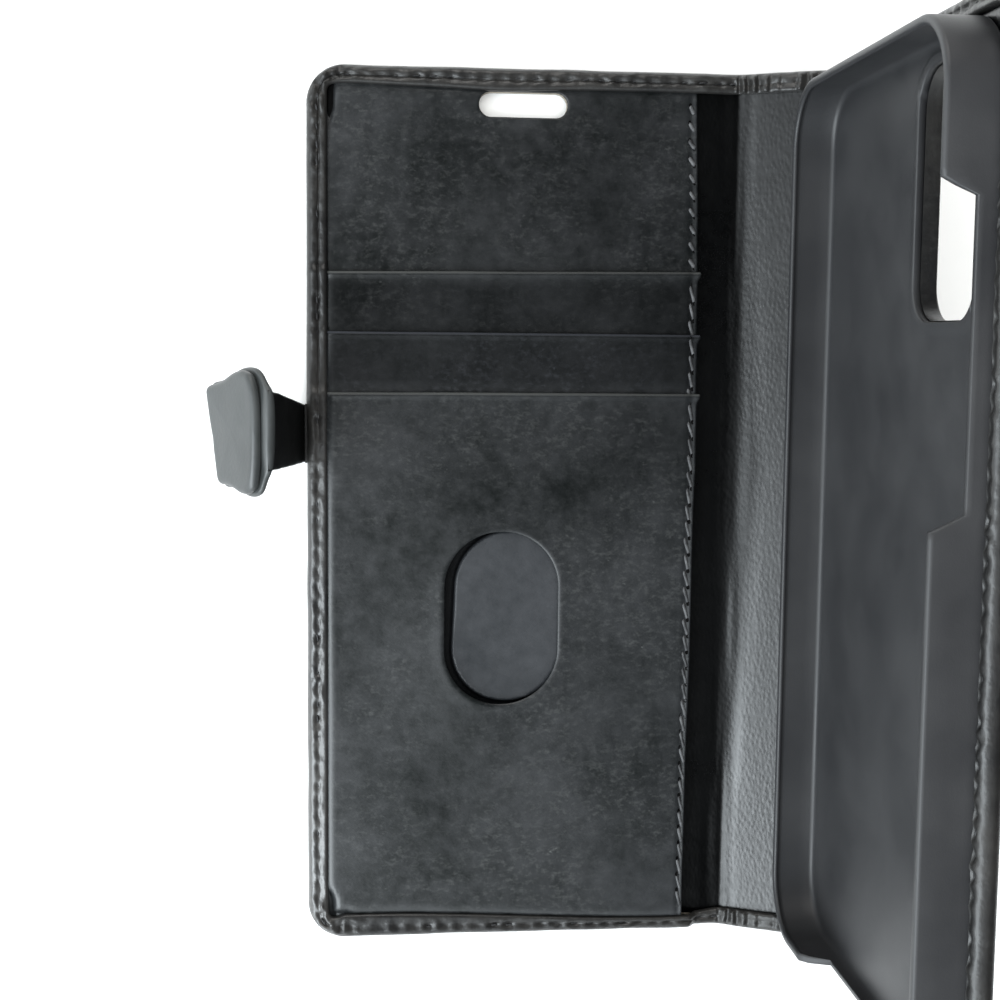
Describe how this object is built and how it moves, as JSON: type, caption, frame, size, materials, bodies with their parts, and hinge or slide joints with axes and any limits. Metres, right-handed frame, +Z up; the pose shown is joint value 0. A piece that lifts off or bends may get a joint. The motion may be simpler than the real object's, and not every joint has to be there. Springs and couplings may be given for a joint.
{
  "type": "phone wallet case",
  "caption": "Folding leather book case for a phone, with stacked card slots, a thumb hole, an earpiece slot, a phone tray and a magnetic clasp strap.",
  "frame": {"origin": "centre of the front cover's outer face, which lies on the table", "axes": "+Z up, out of the front cover's inside face; +X from the clasp edge to the spine; +Y to the case's top edge, where the earpiece slot is"},
  "size_m": [0.1161, 0.162, 0.0884],
  "materials": {
    "outer_leather": "black grained leather, satin",
    "pocket_leather": "smooth black leather, soft satin sheen",
    "lining_leather": "pebbled black leather, satin",
    "board": "grey-brown pressed board",
    "tray_plastic": "matt black moulded plastic",
    "magnet": "nickel-plated",
    "thread": "waxed grey thread"
  },
  "bodies": {
    "front_cover": {"front_cover_leather": "outer_leather", "front_board": "board", "front_lining": "lining_leather", "pocket_backing": "pocket_leather", "card_slot_rear": "pocket_leather", "card_slot_middle": "pocket_leather", "card_slot_front": "pocket_leather", "pocket_seam_thread": "thread", "strap_anchor": "outer_leather"},
    "spine": {"spine_leather": "outer_leather", "spine_stiffener": "board", "spine_lining": "lining_leather"},
    "back_cover": {"back_cover_leather": "outer_leather", "back_board": "board", "back_lining": "lining_leather", "phone_tray": "tray_plastic", "keeper_magnet_lower": "magnet", "keeper_magnet_upper": "magnet"},
    "strap_neck": {"strap_neck_outer": "outer_leather", "strap_neck_lining": "pocket_leather"},
    "strap_tab": {"tab_outer_leather": "outer_leather", "tab_pad": "pocket_leather", "tab_magnet_lower": "magnet", "tab_magnet_upper": "magnet"}
  },
  "joints": [
    {"name": "spine_fold", "type": "hinge", "parent": "front_cover", "child": "spine", "pos_m": [0.0397, 0, 0.0005], "axis": [0, -1, 0], "range_deg": [-25, 65]},
    {"name": "back_fold", "type": "hinge", "parent": "spine", "child": "back_cover", "pos_m": [0.05783, 0, 0.00895], "axis": [0, -1, 0], "range_deg": [-65, 25]},
    {"name": "clasp_fold", "type": "hinge", "parent": "front_cover", "child": "strap_neck", "pos_m": [-0.0408, 0.01435, 0.0013], "axis": [0, 1, 0], "range_deg": [-33, 12]},
    {"name": "clasp_tab_fold", "type": "hinge", "parent": "strap_neck", "child": "strap_tab", "pos_m": [-0.04545, 0.01603, 0.02316], "axis": [0, 1, 0], "range_deg": [0, 220]}
  ]
}
